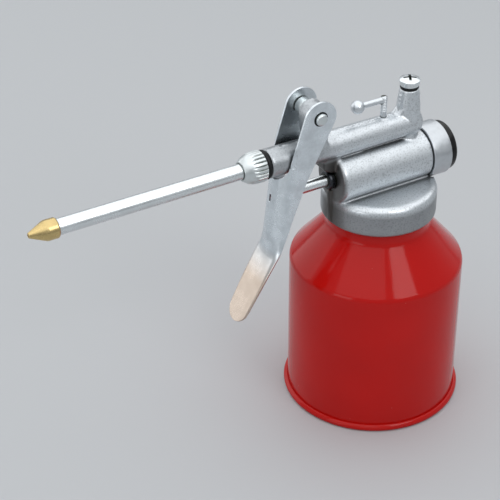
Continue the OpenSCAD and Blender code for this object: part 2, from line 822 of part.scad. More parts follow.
// What the folds take off the front edges of the ears
module fold_corners() {
    translate([web_line(crotch_z), 0, crotch_z]) rotate([0, web_tilt, 0]) difference() {
        for (y = [-lever_hw - over, lever_hw - fold_r]) translate([-over, y, -over]) cube([fold_r - 0.1, fold_r + over, 2 * crotch_r]);
        for (y = [-1, 1]) translate([fold_r, y * (lever_hw - fold_r), -2 * over]) cylinder(r = fold_r - 0.12, h = 2 * crotch_r + 2 * over);
    }
}

module lever() {
    tip = blade_top + (blade_l - blade_tip_w / 2) * down(blade_tilt);
    color("gainsboro") difference() {
        union() {
            difference() {
                bent_strip();
                translate([web_x - 5, 0, fold_top]) rotate([0, 90, 0]) cylinder(r = crotch_r, h = 20);
                translate([web_line(pump_z) - 1, -slit.x / 2, pump_z - slit.y / 2]) cube([4, slit.x, slit.y]);
                translate([tip.x, 0, tip.y]) rotate([0, 180 + blade_tilt, 0]) difference() {
                    translate([-3, -lever_w, 0]) cube([8, 2 * lever_w, blade_tip_w]);
                    translate([-4, 0, 0]) rotate([0, 90, 0]) cylinder(r = blade_tip_w / 2, h = 10);
                }
            }
            difference() {
                for (y = [-lever_hw, ear_in]) {
                    plate(ear_points(), y, y + lever_t);
                    pivot_rod(ear_r, y, y + lever_t);
                }
                fold_corners();
            }
        }
        pivot_rod(ear_hole_r, -lever_w, lever_w);
    }
}

module pivot_pin() {
    color("silver") translate([pivot_x, 0, pivot_z]) rotate([-90, 0, 0]) rotate_extrude() polygon(rounded([
        [0, -lever_hw - pin_out, 0],
        [pin_r, -lever_hw - pin_out, 0.7],
        [pin_r, lever_hw + rest_gap, 0],
        [pin_head_r, lever_hw + rest_gap, 0.2],
        [pin_head_r, lever_hw + rest_gap + pin_head_l, 0.7],
        [0, lever_hw + rest_gap + pin_head_l, 0]]));
}

module pivot_spacer() {
    color("silver") difference() {
        pivot_rod(spacer_r, lug_far, ear_in - rest_gap);
        pivot_rod(pin_r + press_gap, lug_far - over, ear_in + over);
    }
}

bottle();
bottle_base();
cap_gasket();
head_casting();
dip_tube();
strainer();
inlet_ball();
outlet_ball();
outlet_spring();
valve_screw();
valve_screw_washer();
vent_handle();
gland_nut();
gland_packing();
piston_rod();
piston();
piston_seal();
piston_nut();
return_spring();
end_seal();
end_cap();
end_plug();
nozzle_ring();
nozzle_nut();
ferrule();
nozzle_tube();
nozzle_tip();
lever();
pivot_pin();
pivot_spacer();
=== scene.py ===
import json
import math

import bmesh
import bpy
from bpy.props import FloatProperty, FloatVectorProperty, IntProperty, PointerProperty
from mathutils import Matrix, Vector, noise


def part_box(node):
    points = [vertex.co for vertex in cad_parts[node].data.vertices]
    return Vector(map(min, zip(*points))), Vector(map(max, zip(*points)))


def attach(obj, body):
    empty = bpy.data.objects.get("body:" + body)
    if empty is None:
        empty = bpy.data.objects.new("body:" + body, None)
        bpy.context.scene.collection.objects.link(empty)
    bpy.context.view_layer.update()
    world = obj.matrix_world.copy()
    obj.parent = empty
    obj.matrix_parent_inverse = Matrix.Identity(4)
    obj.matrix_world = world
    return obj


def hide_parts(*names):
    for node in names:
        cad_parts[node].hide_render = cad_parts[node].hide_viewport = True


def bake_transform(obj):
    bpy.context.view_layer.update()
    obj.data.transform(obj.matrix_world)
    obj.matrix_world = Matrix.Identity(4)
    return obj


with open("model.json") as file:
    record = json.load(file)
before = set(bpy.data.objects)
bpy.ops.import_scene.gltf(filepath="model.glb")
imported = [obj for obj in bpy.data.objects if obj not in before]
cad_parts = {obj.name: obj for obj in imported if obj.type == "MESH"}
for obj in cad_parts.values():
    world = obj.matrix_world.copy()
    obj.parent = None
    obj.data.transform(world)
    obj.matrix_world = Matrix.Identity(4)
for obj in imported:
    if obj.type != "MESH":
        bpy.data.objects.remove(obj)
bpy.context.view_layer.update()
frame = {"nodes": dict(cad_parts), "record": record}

bl_info = {
    "name": "Pump oil can",
    "version": (1, 0, 0),
    "blender": (4, 5, 0),
    "location": "3D View > Sidebar > Oil can",
    "description": "Dresses the pump oil can with enamel, cast, pressed and plated pieces",
    "category": "Object",
}

MM = 0.001
FULL = 2 * math.pi
# Points nearer than SAME are merged; a ring's points are found within NEAR of their place
SAME = 1e-7
NEAR = 1e-6


def linear(text):
    """Turn an sRGB hex colour into linear red, green and blue."""
    parts = [int(text[i:i + 2], 16) / 255 for i in (0, 2, 4)]
    return tuple(c / 12.92 if c <= 0.04045 else ((c + 0.055) / 1.055) ** 2.4 for c in parts)


# ---- sizes and colours ------------------------------------------------------------------


def length(name, description, millimetres):
    """A size that the user may change, given in millimetres and kept in metres."""
    return FloatProperty(name=name, description=description, default=millimetres * MM, min=0, unit="LENGTH")


def tint(name, description, text):
    """A colour that the user may change, given as an sRGB hex value."""
    return FloatVectorProperty(name=name, description=description, default=linear(text), min=0, max=1, size=3,
                               subtype="COLOR")


class OilCanSizes(bpy.types.PropertyGroup):
    """Sizes of the pieces that are modelled here, beyond what the frame gives"""
    wall_top: length("Wall top", "Height at which the bottle's wall would meet its shoulder", 63.9)
    shoulder_top: length("Shoulder top", "Height at which the shoulder would meet the neck", 80.4)
    neck_radius: length("Neck radius", "Outside radius of the bottle's neck", 20.6)
    sheet: length("Sheet", "Thickness of the bottle's steel", 0.9)
    shoulder_round: length("Shoulder rounding", "Radius of the pressed corner below the shoulder", 3.6)
    neck_round: length("Neck rounding", "Radius of the hollow corner at the foot of the neck", 3.2)
    cast_grid: length("Casting grid", "Grid on which the casting's corners are rounded", 0.44)
    flash: length("Flash", "Height of the ridge that the die leaves on the tower", 1.1)
    flash_width: length("Flash width", "Half the width of that ridge", 0.65)
    join: length("Join", "Distance within which the lever's corners are joined", 0.06)
    sheet_edge: length("Sheet edge", "Width of the bevel that breaks the lever's edges", 0.1)
    crown: length("Web crown", "How far pressing bulges the middle of the lever's web", 1.7)
    crown_end: length("Crown end", "Height at which the web's crown dies away", 79)
    flutes: IntProperty(name="Flutes", description="Number of flutes round the union nut", default=24, min=8)
    flute_deep: length("Flute depth", "How deep the union nut's flutes are", 0.55)
    turning: length("Turning marks", "Distance between turning marks, coarser than real", 0.35)
    vent_rod: length("Vent rod radius", "Radius of the vent handle's rod", 1.2)


class OilCanColours(bpy.types.PropertyGroup):
    """Colours of the finishes"""
    enamel: tint("Enamel", "Red stoved enamel of the bottle", "be130f")
    casting: tint("Casting", "Tumbled die-cast alloy of the head", "d3d8dc")
    steel: tint("Lever steel", "Satin zinc plate on the pressed lever", "dde4e9")
    # Warm tint that the lever's blade is painted with, a painted reflection of the red bottle
    worn: tint("Blade reflection", "Plate that fingers have worn warm on the lever's blade", "c8b4a1")
    nickel: tint("Nickel", "Bright nickel plate on spout, rod and screw", "dde2e4")
    zinc: tint("Zinc", "Bright zinc plate on nut and pins", "d4dadb")
    alloy: tint("Turned alloy", "Turned end cap", "c4c8cc")
    brass: tint("Brass", "Turned brass of the spout's tip", "cfb780")
    black: tint("Black", "Black rubber and plastic", "0b0c0d")
    gland: tint("Gland", "Blackened steel of the gland", "3c3e42")
    floor: tint("Floor", "Pale floor", "bec1c4")
    sky: tint("Sky", "Faintly blue light from all round", "eaeff3")


# ---- shader helpers ---------------------------------------------------------------------


def add(tree, kind, inputs=None, **settings):
    """Add one node; inputs maps a socket to its value or to the output that feeds it."""
    new = tree.nodes.new(kind)
    for name, value in settings.items():
        setattr(new, name, value)
    for socket, value in (inputs or {}).items():
        if isinstance(value, bpy.types.NodeSocket):
            tree.links.new(value, new.inputs[socket])
        else:
            new.inputs[socket].default_value = value
    return new


def begin(name, **constants):
    """A new material: its node tree, its shader and the piece's own coordinates."""
    material = bpy.data.materials.new(name)
    material.use_nodes = True
    tree = material.node_tree
    tree.nodes.clear()
    shader = add(tree, "ShaderNodeBsdfPrincipled", constants)
    add(tree, "ShaderNodeOutputMaterial", {"Surface": shader.outputs[0]})
    return material, tree, shader, add(tree, "ShaderNodeTexCoord").outputs["Object"]


def shade(colour, factor=1):
    """The same colour, lighter or darker, with full cover."""
    return tuple(min(1, c * factor) for c in colour) + (1,)


def feed(tree, shader, colour, rough, bump):
    """Link a finish's last colour mix, roughness and bump to its shader."""
    tree.links.new(colour.outputs[2], shader.inputs["Base Color"])
    tree.links.new(rough.outputs[0], shader.inputs["Roughness"])
    tree.links.new(bump.outputs[0], shader.inputs["Normal"])


# ---- finishes ---------------------------------------------------------------------------

# Nearly all of a noise texture's values lie in this span
NOISE_SPAN = {"From Min": 0.3, "From Max": 0.7}
# Rays that feel for corners, from each shaded point
CORNER_RAYS = 8
DUST = shade(linear("bcaea6"))
# Black: old oil and painted shade in the casting's corners; brown: old oil round the rod; green: old oil and
# painted shade in slots; grey: painted shade between the lever's ears
BLACK_OIL_AND_SHADE = shade(linear("302f2f"))
BROWN_OIL = shade(linear("3f3a35"))
GREEN_OIL_AND_SHADE = shade(linear("383c27"))
GREY_SHADE = shade(linear("3c423c"))


def stoved_enamel(colour):
    """Stoved enamel sprayed on drawn steel: deep and glossy, with faint orange peel and a little dust."""
    material, tree, shader, spot = begin("stoved_enamel", IOR=1.3)
    # The drawn wall is uneven over 25 mm, which bends the reflections and varies the coat
    draw = add(tree, "ShaderNodeTexNoise", {"Vector": spot, "Scale": 1 / (25 * MM), "Detail": 1.0})
    uneven = add(tree, "ShaderNodeBump", {"Height": draw.outputs[0], "Strength": 0.3, "Distance": 0.6 * MM})
    # Orange peel: soft waves 1.6 mm apart
    peel = add(tree, "ShaderNodeTexNoise", {"Vector": spot, "Scale": 1 / (1.6 * MM), "Detail": 1.0})
    bump = add(tree, "ShaderNodeBump", {
        "Height": peel.outputs[0], "Strength": 0.05, "Distance": 0.06 * MM, "Normal": uneven.outputs[0]})
    # Specks of dust 0.3 mm across, about 7 mm apart
    speck = add(tree, "ShaderNodeTexVoronoi", {"Vector": spot, "Scale": 1 / (7 * MM)})
    dusty = add(tree, "ShaderNodeMapRange", {
        "Value": speck.outputs["Distance"], "From Min": 0.03, "From Max": 0.015, "To Max": 0.3})
    coat = add(tree, "ShaderNodeMix", {
        "Factor": draw.outputs[0], 6: shade(colour, 0.88), 7: shade(colour, 1.1)}, data_type="RGBA")
    dust = add(tree, "ShaderNodeMix", {
        "Factor": dusty.outputs[0], 6: coat.outputs[2], 7: DUST}, data_type="RGBA")
    # Handling leaves the gloss slightly patchy over 12 mm
    patch = add(tree, "ShaderNodeTexNoise", {"Vector": spot, "Scale": 1 / (12 * MM), "Detail": 3.0})
    rough = add(tree, "ShaderNodeMapRange", {
        "Value": patch.outputs[0], **NOISE_SPAN, "To Min": 0.08, "To Max": 0.14})
    feed(tree, shader, dust, rough, bump)
    return material


def tumbled_casting(colour, skirt, front, barrel):
    """Bare die-cast alloy, tumbled: a soft shine, a fine sandy grain, a skirt darkened with painted shade,
    oil and painted shade in the corners.

    skirt is the height of the cap's rounded rim, front the X where the cylinder starts, and barrel the height
    of the barrel's axis.
    """
    material, tree, shader, spot = begin("tumbled_casting", Metallic=0.9)
    # Grain of about 0.35 mm, coarser than real so that it shows
    grain = add(tree, "ShaderNodeTexNoise", {
        "Vector": spot, "Scale": 1 / (0.35 * MM), "Detail": 3.0, "Roughness": 0.6})
    # Flow marks and tumbling dents about 5 mm apart
    flow = add(tree, "ShaderNodeTexNoise", {"Vector": spot, "Scale": 1 / (5 * MM), "Detail": 2.0})
    dents = add(tree, "ShaderNodeBump", {"Height": flow.outputs[0], "Strength": 0.25, "Distance": 0.3 * MM})
    bump = add(tree, "ShaderNodeBump", {
        "Height": grain.outputs[0], "Strength": 0.35, "Distance": 0.06 * MM, "Normal": dents.outputs[0]})
    tone = add(tree, "ShaderNodeMix", {
        "Factor": flow.outputs[0], 6: shade(colour, 0.86), 7: shade(colour, 1.08)}, data_type="RGBA")
    # Dark pits about 0.6 mm apart, coarser than real
    speck = add(tree, "ShaderNodeTexNoise", {"Vector": spot, "Scale": 1 / (0.6 * MM), "Detail": 2.0})
    pits = add(tree, "ShaderNodeMapRange", {
        "Value": speck.outputs[0], "From Min": 0.3, "From Max": 0.5, "To Min": 0.5, "To Max": 0.0})
    pitted = add(tree, "ShaderNodeMix", {
        "Factor": pits.outputs[0], 6: tone.outputs[2], 7: shade(colour, 0.35)}, data_type="RGBA")
    # Below the cap's rounded rim the skirt is painted darker, a painted shade on its upright side; the same
    # mask makes the skirt's casting skin rougher
    where = add(tree, "ShaderNodeSeparateXYZ", {"Vector": spot})
    shaded_skin = add(tree, "ShaderNodeMapRange", {
        "Value": where.outputs["Z"], "From Min": skirt, "From Max": skirt - 2 * MM, "To Max": 0.6})
    shaded_skirt = add(tree, "ShaderNodeMix", {
        "Factor": shaded_skin.outputs[0], 6: pitted.outputs[2], 7: shade(colour, 0.2)}, data_type="RGBA")
    # Corners up to 3 mm deep are painted near black: old oil and dirt, and painted shade
    corner = add(tree, "ShaderNodeAmbientOcclusion", {"Distance": 3 * MM}, samples=CORNER_RAYS)
    ao_shade = add(tree, "ShaderNodeMapRange", {
        "Value": corner.outputs["AO"], "From Min": 0.35, "From Max": 0.8, "To Min": 0.9, "To Max": 0.0})
    ao_shaded = add(tree, "ShaderNodeMix", {
        "Factor": ao_shade.outputs[0], 6: shaded_skirt.outputs[2], 7: BLACK_OIL_AND_SHADE}, data_type="RGBA")
    # The front end under the barrel, where the rod comes out, is brown with old oil
    ahead = add(tree, "ShaderNodeMapRange", {
        "Value": where.outputs["X"], "From Min": front + 1.6 * MM, "From Max": front - 0.2 * MM,
        "To Max": 0.95})
    under = add(tree, "ShaderNodeMapRange", {
        "Value": where.outputs["Z"], "From Min": barrel - 3 * MM, "From Max": barrel - 6 * MM})
    oily = add(tree, "ShaderNodeMath", {0: ahead.outputs[0], 1: under.outputs[0]}, operation="MULTIPLY")
    brown = add(tree, "ShaderNodeMix", {
        "Factor": oily.outputs[0], 6: ao_shaded.outputs[2], 7: BROWN_OIL}, data_type="RGBA")
    # Ahead of the cylinder's front, round the lever, the casting is painted darker grey over 12 mm
    front_darkening = add(tree, "ShaderNodeMapRange", {
        "Value": where.outputs["X"], "From Min": front + 2 * MM, "From Max": front - 10 * MM, "To Max": 0.45})
    darker_front = add(tree, "ShaderNodeMix", {
        "Factor": front_darkening.outputs[0], 6: brown.outputs[2], 7: shade(colour, 0.3)}, data_type="RGBA")
    # The skirt's skin is rougher than the tumbled faces
    smooth = add(tree, "ShaderNodeMapRange", {
        "Value": flow.outputs[0], **NOISE_SPAN, "To Min": 0.42, "To Max": 0.32})
    rough = add(tree, "ShaderNodeMath", {
        0: shaded_skin.outputs[0], 1: 0.15, 2: smooth.outputs[0]}, operation="MULTIPLY_ADD")
    feed(tree, shader, darker_front, rough, bump)
    return material


def satin_plate(colour, worn):
    """Satin zinc plate on pressed sheet: pale, rubbed dull in patches, with a warm painted reflection of the
    red bottle on the blade.
    """
    material, tree, shader, spot = begin("satin_zinc_plate", Metallic=1.0)
    patch = add(tree, "ShaderNodeTexNoise", {
        "Vector": spot, "Scale": 1 / (6 * MM), "Detail": 4.0, "Roughness": 0.6})
    rub = add(tree, "ShaderNodeMapRange", {"Value": patch.outputs[0], "From Min": 0.35, "From Max": 0.68})
    cool = add(tree, "ShaderNodeMix", {
        "Factor": rub.outputs[0], 6: shade(colour, 0.84), 7: shade(colour, 1.08)}, data_type="RGBA")
    # The blade is painted warm from a height of 84 mm down, a painted reflection of the red bottle
    height = add(tree, "ShaderNodeSeparateXYZ", {"Vector": spot}).outputs["Z"]
    blade = add(tree, "ShaderNodeMapRange", {
        "Value": height, "From Min": 84 * MM, "From Max": 72 * MM, "To Max": 0.85})
    warm = add(tree, "ShaderNodeMix", {
        "Factor": blade.outputs[0], 6: cool.outputs[2], 7: shade(worn)}, data_type="RGBA")
    # The hollow side where the ears stand close, above 100 mm, is painted dark grey, a painted shade
    hollow = add(tree, "ShaderNodeAmbientOcclusion", {"Distance": 18 * MM}, samples=CORNER_RAYS,
                 only_local=True)
    ao_shade = add(tree, "ShaderNodeMapRange", {
        "Value": hollow.outputs["AO"], "From Min": 0.35, "From Max": 0.92, "To Min": 0.9, "To Max": 0.0})
    ears = add(tree, "ShaderNodeMapRange", {"Value": height, "From Min": 100 * MM, "From Max": 116 * MM})
    dark = add(tree, "ShaderNodeMath", {0: ao_shade.outputs[0], 1: ears.outputs[0]}, operation="MULTIPLY")
    ao_shaded = add(tree, "ShaderNodeMix", {
        "Factor": dark.outputs[0], 6: warm.outputs[2], 7: GREY_SHADE}, data_type="RGBA")
    # Pressing leaves the sheet wavy over 9 mm
    press = add(tree, "ShaderNodeTexNoise", {"Vector": spot, "Scale": 1 / (9 * MM), "Detail": 1.0})
    wavy = add(tree, "ShaderNodeBump", {"Height": press.outputs[0], "Strength": 0.3, "Distance": 0.2 * MM})
    # Plating grain of 0.4 mm, coarser than real
    grain = add(tree, "ShaderNodeTexNoise", {"Vector": spot, "Scale": 1 / (0.4 * MM), "Detail": 2.0})
    bump = add(tree, "ShaderNodeBump", {
        "Height": grain.outputs[0], "Strength": 0.12, "Distance": 0.05 * MM, "Normal": wavy.outputs[0]})
    rough = add(tree, "ShaderNodeMapRange", {
        "Value": patch.outputs[0], **NOISE_SPAN, "To Min": 0.34, "To Max": 0.24})
    feed(tree, shader, ao_shaded, rough, bump)
    return material


def bright_plate(name, colour, least, most, haze):
    """Nickel or zinc plate on turned steel: a clear shine with slight haze and handling marks."""
    material, tree, shader, spot = begin(name, Metallic=1.0)
    patch = add(tree, "ShaderNodeTexNoise", {
        "Vector": spot, "Scale": 1 / (haze * MM), "Detail": 4.0, "Roughness": 0.6})
    tone = add(tree, "ShaderNodeMix", {
        "Factor": patch.outputs[0], 6: shade(colour, 0.86), 7: shade(colour, 1.08)}, data_type="RGBA")
    rough = add(tree, "ShaderNodeMapRange", {
        "Value": patch.outputs[0], **NOISE_SPAN, "To Min": least, "To Max": most})
    # Handling marks about 0.5 mm apart, coarser than real
    fine = add(tree, "ShaderNodeTexNoise", {"Vector": spot, "Scale": 1 / (0.5 * MM), "Detail": 2.0})
    bump = add(tree, "ShaderNodeBump", {"Height": fine.outputs[0], "Strength": 0.05, "Distance": 0.05 * MM})
    # Recesses and slots about 1 mm wide are painted dark olive: old oil, and painted shade
    corner = add(tree, "ShaderNodeAmbientOcclusion", {"Distance": 1.2 * MM}, samples=CORNER_RAYS)
    ao_shade = add(tree, "ShaderNodeMapRange", {
        "Value": corner.outputs["AO"], "From Min": 0.45, "From Max": 0.85, "To Min": 0.95, "To Max": 0.0})
    ao_shaded = add(tree, "ShaderNodeMix", {
        "Factor": ao_shade.outputs[0], 6: tone.outputs[2], 7: GREEN_OIL_AND_SHADE}, data_type="RGBA")
    feed(tree, shader, ao_shaded, rough, bump)
    return material


def turned_metal(name, colour, pitch, least, most):
    """Metal turned on a lathe about X: fine rings from the tool, slightly dulled."""
    material, tree, shader, spot = begin(name, Metallic=1.0)
    # One ring for each turning pitch along X; at scale 1 the texture has 3.18 waves to the unit
    waves = 3.18
    rings = add(tree, "ShaderNodeTexWave", {
        "Vector": spot, "Scale": 1 / (pitch * waves), "Distortion": 0.6, "Detail": 1.0}, bands_direction="X")
    bump = add(tree, "ShaderNodeBump", {"Height": rings.outputs[1], "Strength": 0.12, "Distance": 0.04 * MM})
    # Handling tarnishes the metal in patches over 2.5 mm
    patch = add(tree, "ShaderNodeTexNoise", {
        "Vector": spot, "Scale": 1 / (2.5 * MM), "Detail": 4.0, "Roughness": 0.6})
    tone = add(tree, "ShaderNodeMix", {
        "Factor": patch.outputs[0], 6: shade(colour, 0.78), 7: shade(colour, 1.12)}, data_type="RGBA")
    rough = add(tree, "ShaderNodeMapRange", {
        "Value": patch.outputs[0], **NOISE_SPAN, "To Min": least, "To Max": most})
    feed(tree, shader, tone, rough, bump)
    return material


def black_finish(name, colour, least, most, grain):
    """Black moulded rubber or plastic: dark, with a fine grain and dusty patches."""
    material, tree, shader, spot = begin(name, IOR=1.35)
    # Dust dulls it in patches over 2 mm
    patch = add(tree, "ShaderNodeTexNoise", {"Vector": spot, "Scale": 1 / (2 * MM), "Detail": 3.0})
    tone = add(tree, "ShaderNodeMix", {
        "Factor": patch.outputs[0], 6: shade(colour, 0.7), 7: shade(colour, 1.8)}, data_type="RGBA")
    rough = add(tree, "ShaderNodeMapRange", {
        "Value": patch.outputs[0], **NOISE_SPAN, "To Min": least, "To Max": most})
    # Moulding grain of 0.4 mm, coarser than real
    fine = add(tree, "ShaderNodeTexNoise", {"Vector": spot, "Scale": 1 / (0.4 * MM), "Detail": 2.0})
    bump = add(tree, "ShaderNodeBump", {"Height": fine.outputs[0], "Strength": grain, "Distance": 0.05 * MM})
    feed(tree, shader, tone, rough, bump)
    return material


# Slot: material name, colour, least and most roughness, millimetres between hazy patches
PLATES = {
    "nickel_plate": ("bright_nickel", "nickel", 0.2, 0.32, 7),
    "zinc_plate": ("bright_zinc", "zinc", 0.28, 0.42, 3),
    "polished_steel": ("tumbled_steel", "casting", 0.28, 0.42, 1.5),
    "steel_tube": ("drawn_steel", "steel", 0.25, 0.4, 4),
    "spring_steel": ("spring_wire", "steel", 0.25, 0.4, 2),
    "blackened_steel": ("blackened_steel", "gland", 0.2, 0.35, 2),
}
# Slot: material name, colour, least and most roughness
TURNED = {
    "turned_alloy": ("turned_alloy", "alloy", 0.28, 0.42),
    "brass": ("turned_brass", "brass", 0.2, 0.34),
}
# Slot: material name, colour, least and most roughness, strength of the grain
MOULDED = {
    "black_rubber": ("moulded_rubber", "black", 0.35, 0.55, 0.2),
    "black_plastic": ("gloss_plastic", "black", 0.12, 0.25, 0.05),
}
FINISHES = {}


def finish(slot):
    """The finished material of that slot, made once."""
    if slot in FINISHES:
        return FINISHES[slot]
    sizes = bpy.context.scene.oil_can_sizes
    tints = bpy.context.scene.oil_can_colours
    colours = {name: tuple(getattr(tints, name)) for name in OilCanColours.__annotations__}
    if slot in PLATES:
        name, colour, *rest = PLATES[slot]
        made = bright_plate(name, colours[colour], *rest)
    elif slot in TURNED:
        name, colour, *rest = TURNED[slot]
        made = turned_metal(name, colours[colour], sizes.turning, *rest)
    elif slot in MOULDED:
        name, colour, *rest = MOULDED[slot]
        made = black_finish(name, colours[colour], *rest)
    elif slot == "red_enamel":
        made = stoved_enamel(colours["enamel"])
    elif slot == "pressed_steel":
        made = satin_plate(colours["steel"], colours["worn"])
    elif slot == "die_cast_alloy":
        # The cap's rim rounds off 4.5 mm over the bottle; the cylinder starts 2.7 mm behind the gland's front
        made = tumbled_casting(colours["casting"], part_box("bottle")[1].z + 4.5 * MM,
                               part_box("gland_nut")[0].x + 2.7 * MM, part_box("nozzle_tube")[0].z + 3 * MM)
    else:
        raise ValueError("no finish for the slot " + slot)
    FINISHES[slot] = made
    return made


# ---- building shapes --------------------------------------------------------------------


def place(name, bm, body, slot, replaced=(), smooth=30, between=None):
    """Make a finished object from a bmesh, dressed in a slot's finish and riding on a body; when between is
    given, the object rides on no body and keeps its transform applied.
    """
    bmesh.ops.recalc_face_normals(bm, faces=bm.faces)
    mesh = bpy.data.meshes.new(name)
    bm.to_mesh(mesh)
    bm.free()
    mesh.shade_smooth()
    mesh.set_sharp_from_angle(angle=math.radians(smooth))
    piece = bpy.data.objects.new(name, mesh)
    bpy.context.scene.collection.objects.link(piece)
    mesh.materials.append(finish(slot))
    if between:
        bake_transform(piece)
    else:
        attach(piece, body)
    if replaced:
        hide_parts(*replaced)
    return piece


def spun(bm, corners, turn=Matrix(), steps=96):
    """Spin a profile of (radius, height, rounding) round Z into bm, round its rings, and turn it in place."""
    start = set(bm.verts)
    verts = [bm.verts.new((c[0], 0, c[1])) for c in corners]
    edges = [bm.edges.new(pair) for pair in zip(verts, verts[1:])]
    bmesh.ops.spin(bm, geom=verts + edges, axis=(0, 0, 1), cent=(0, 0, 0), steps=steps, angle=FULL,
                   use_merge=True)
    bmesh.ops.remove_doubles(bm, verts=[v for v in bm.verts if v not in start], dist=SAME)
    for before, corner, after in zip(corners, corners[1:], corners[2:]):
        radius, height, rounding = corner
        if rounding == 0:
            continue
        a = Vector((before[0] - radius, before[1] - height))
        b = Vector((after[0] - radius, after[1] - height))
        reach = rounding / math.tan(a.angle(b) / 2)
        on_ring = {v for v in bm.verts if v not in start and abs(math.hypot(v.co.x, v.co.y) - radius) < NEAR
                   and abs(v.co.z - height) < NEAR}
        ring = [e for e in bm.edges if on_ring.issuperset(e.verts)]
        bmesh.ops.bevel(bm, geom=ring, offset=reach, offset_type="OFFSET", segments=6, profile=0.5,
                        affect="EDGES", material=-1)
    bmesh.ops.transform(bm, matrix=turn, verts=[v for v in bm.verts if v not in start])


def along(axis, start):
    """The matrix that lays the Z axis along axis, with its zero at start."""
    turn = Vector((0, 0, 1)).rotation_difference(Vector(axis)).to_matrix().to_4x4()
    return Matrix.Translation(start) @ turn


def centre(node):
    """The middle of a CAD node's box."""
    low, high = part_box(node)
    return (low + high) / 2


def joined(node, distance=SAME):
    """A copy of a CAD node with its corners joined."""
    bm = bmesh.new()
    bm.from_mesh(frame["nodes"][node].data)
    bmesh.ops.remove_doubles(bm, verts=bm.verts, dist=distance)
    return bm


def held(name, bm):
    """A passing object that takes a bmesh over, for a modifier to work on."""
    mesh = bpy.data.meshes.new(name)
    bm.to_mesh(mesh)
    bm.free()
    holder = bpy.data.objects.new(name, mesh)
    bpy.context.scene.collection.objects.link(holder)
    return holder


def shaped(holder):
    """The mesh that a holder's modifiers give, as a new bmesh."""
    bm = bmesh.new()
    bm.from_mesh(holder.evaluated_get(bpy.context.evaluated_depsgraph_get()).to_mesh())
    return bm


def dropped(holder):
    """Remove a holder and its mesh."""
    mesh = holder.data
    bpy.data.objects.remove(holder)
    bpy.data.meshes.remove(mesh)


def softened(node, grid, rounds):
    """A copy of a CAD node with its corners rounded and filled, as casting and tumbling leave them."""
    holder = held(node + "_copy", joined(node))
    remesh = holder.modifiers.new("grid", "REMESH")
    remesh.mode = "VOXEL"
    remesh.voxel_size = grid
    bm = shaped(holder)
    dropped(holder)
    for _ in range(rounds):
        bmesh.ops.smooth_vert(bm, verts=bm.verts, factor=0.5, use_axis_x=True, use_axis_y=True,
                              use_axis_z=True)
    return bm


def crisp(node, join, width):
    """A copy of a CAD node with its flat faces joined and its sharp edges broken by a small bevel."""
    bm = joined(node, join)
    # Faces within one degree are one face, and an edge that turns by more than 35 degrees is sharp.
    # Edges too short for two bevels keep their shape
    level, turned = math.radians(1), math.radians(35)
    bmesh.ops.dissolve_limit(bm, angle_limit=level, verts=bm.verts, edges=bm.edges)
    sharp = [e for e in bm.edges if e.calc_face_angle(0) > turned and e.calc_length() > 2 * width]
    bmesh.ops.bevel(bm, geom=sharp, offset=width, offset_type="OFFSET", segments=2, profile=0.5,
                    affect="EDGES", material=-1)
    # A bevel's corner may stand out past the node, so it is held inside the node's box
    low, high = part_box(node)
    for v in bm.verts:
        v.co = [min(b, max(a, c)) for a, c, b in zip(low, v.co, high)]
    return bm


def cut(bm, tool):
    """Take the bmesh tool away from bm, and give the result as a new bmesh."""
    blank = held("blank", bm)
    cutter = held("cutter", tool)
    taken = blank.modifiers.new("cut", "BOOLEAN")
    taken.operation = "DIFFERENCE"
    taken.solver = "EXACT"
    taken.object = cutter
    bm = shaped(blank)
    dropped(blank)
    dropped(cutter)
    return bm


class Piece:
    """What each piece's operator shares"""
    bl_options = {"REGISTER"}


# ---- the pieces -------------------------------------------------------------------------
# Each spun profile lists its corners as (radius, height along its axis, rounding)


class OILCAN_OT_bottle(Piece, bpy.types.Operator):
    """Drawn bottle with its sloping shoulder, and the pressed foot with its rolled seam"""
    bl_idname = "oilcan.bottle"
    bl_label = "Bottle"

    def execute(self, context):
        s = context.scene.oil_can_sizes
        low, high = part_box("bottle")
        r = high.x
        neck = s.neck_radius
        t = s.sheet
        rim = 0.3 * MM
        # Up the outside from the foot, over the rim and down the inside
        bm = bmesh.new()
        spun(bm, [
            (r, low.z, 0), (r, s.wall_top, s.shoulder_round), (neck, s.shoulder_top, s.neck_round),
            (neck, high.z, rim), (neck - t, high.z, rim), (neck - t, s.shoulder_top, s.neck_round + t),
            (r - t, s.wall_top - t, s.shoulder_round - t), (r - t, low.z, 0), (r, low.z, 0)], steps=160)
        place("bottle_shell", bm, "bottle", "red_enamel", ["bottle"], smooth=50)
        low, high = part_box("bottle_base")
        out, top = high.x, high.z
        # The floor lies recessed; the wall's lower edge sits in a slot that starts 1.1 mm up
        slot = low.z + 1.1 * MM
        under = top - 0.9 * MM
        bm = bmesh.new()
        spun(bm, [
            (0, top, 0), (r - t, top, rim), (r - t, slot, 0), (r, slot, 0), (r, top - 0.35 * MM, rim),
            (out - 1.0 * MM, top, 0.9 * MM), (out, top - 1.3 * MM, 1.1 * MM), (out, low.z, 1.3 * MM),
            (out - 3.6 * MM, low.z, 0.7 * MM), (out - 3.8 * MM, under, 0.4 * MM), (0, under, 0)], steps=160)
        place("rolled_foot", bm, "bottle", "red_enamel", ["bottle_base"], smooth=50)
        return {"FINISHED"}


